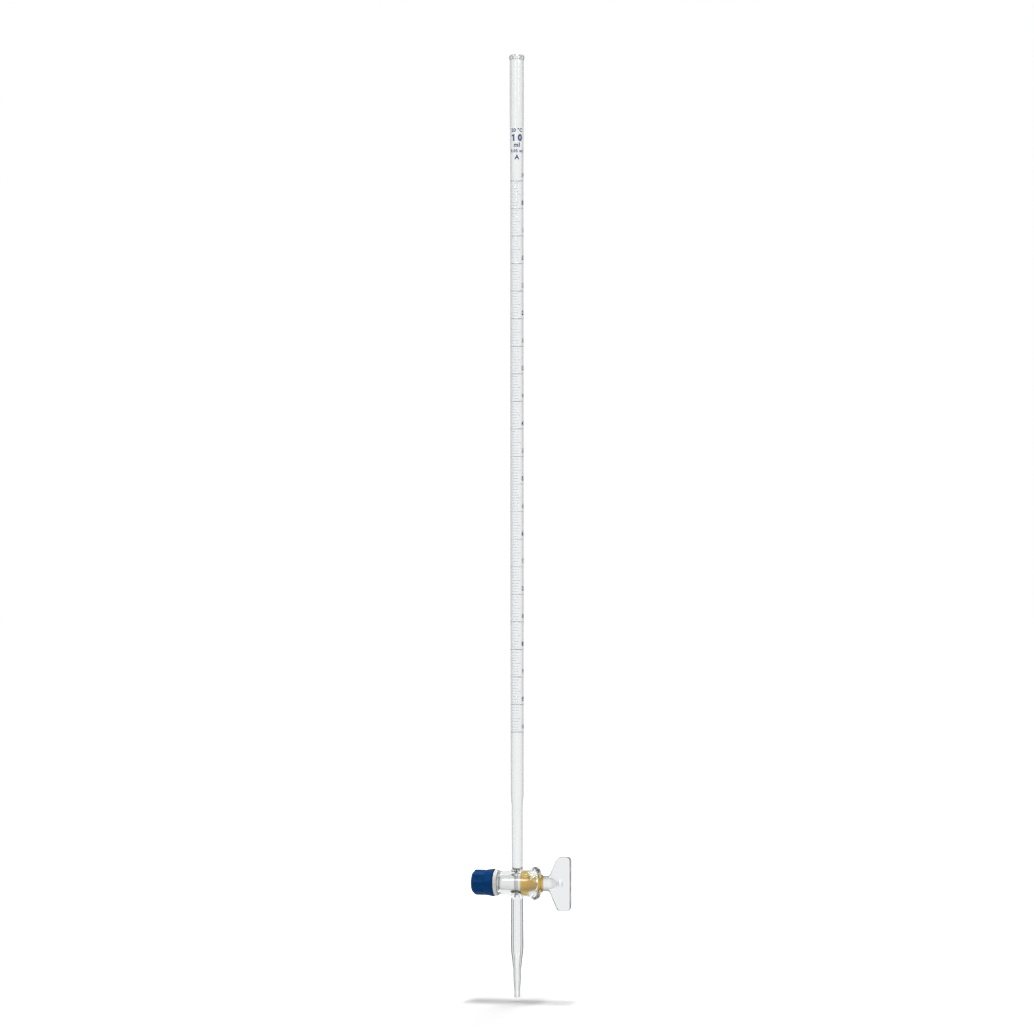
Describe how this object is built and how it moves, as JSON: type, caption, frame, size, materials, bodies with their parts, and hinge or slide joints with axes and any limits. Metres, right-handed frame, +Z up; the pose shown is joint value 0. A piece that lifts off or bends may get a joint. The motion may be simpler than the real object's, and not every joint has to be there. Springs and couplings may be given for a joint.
{
  "type": "glass stopcock burette",
  "caption": "Upright glass burette: graduated tube with a beaded mouth, ground-glass stopcock with a flat handle and a blue retaining nut, and a drawn jet.",
  "frame": {"origin": "centre of the jet's orifice, on the tube's axis at the jet's tip", "axes": "+Z up the tube to its mouth, +X along the stopcock towards the key's handle, and the middle of the scale faces 13 degrees from -Y towards +X"},
  "size_m": [0.0618, 0.0206, 0.5796],
  "materials": {
    "glass": "drawn and fire-polished borosilicate",
    "key_glass": "pressed borosilicate, fine-ground on the cone",
    "amber_plastic": "translucent, moulded thin",
    "white_plastic": "waxy, turned",
    "seal_rubber": "moulded",
    "blue_plastic": "moulded, satin"
  },
  "bodies": {
    "glass_body": {"graduated_tube": "glass", "stopcock_body": "glass"},
    "key": {"key_plug": "key_glass", "key_handle": "key_glass", "taper_sleeve": "amber_plastic", "thrust_washer": "white_plastic"},
    "ring": {"seal_ring": "seal_rubber"},
    "nut": {"retaining_nut": "blue_plastic"}
  },
  "joints": [
    {"name": "key_turn", "type": "hinge", "parent": "glass_body", "child": "key", "pos_m": [0, 0, 0.0704], "axis": [1, 0, 0], "continuous": true},
    {"name": "ring_travel", "type": "slide", "parent": "key", "child": "ring", "axis": [-1, 0, 0], "range_m": [0, 0.008]},
    {"name": "nut_turn", "type": "hinge", "parent": "ring", "child": "nut", "pos_m": [-0.021, 0, 0.0704], "axis": [-1, 0, 0], "range_deg": [0, 1440]}
  ],
  "couplings": [
    {"joint": "nut_turn", "follows": "ring_travel", "rad_per_m": 3141.6}
  ]
}
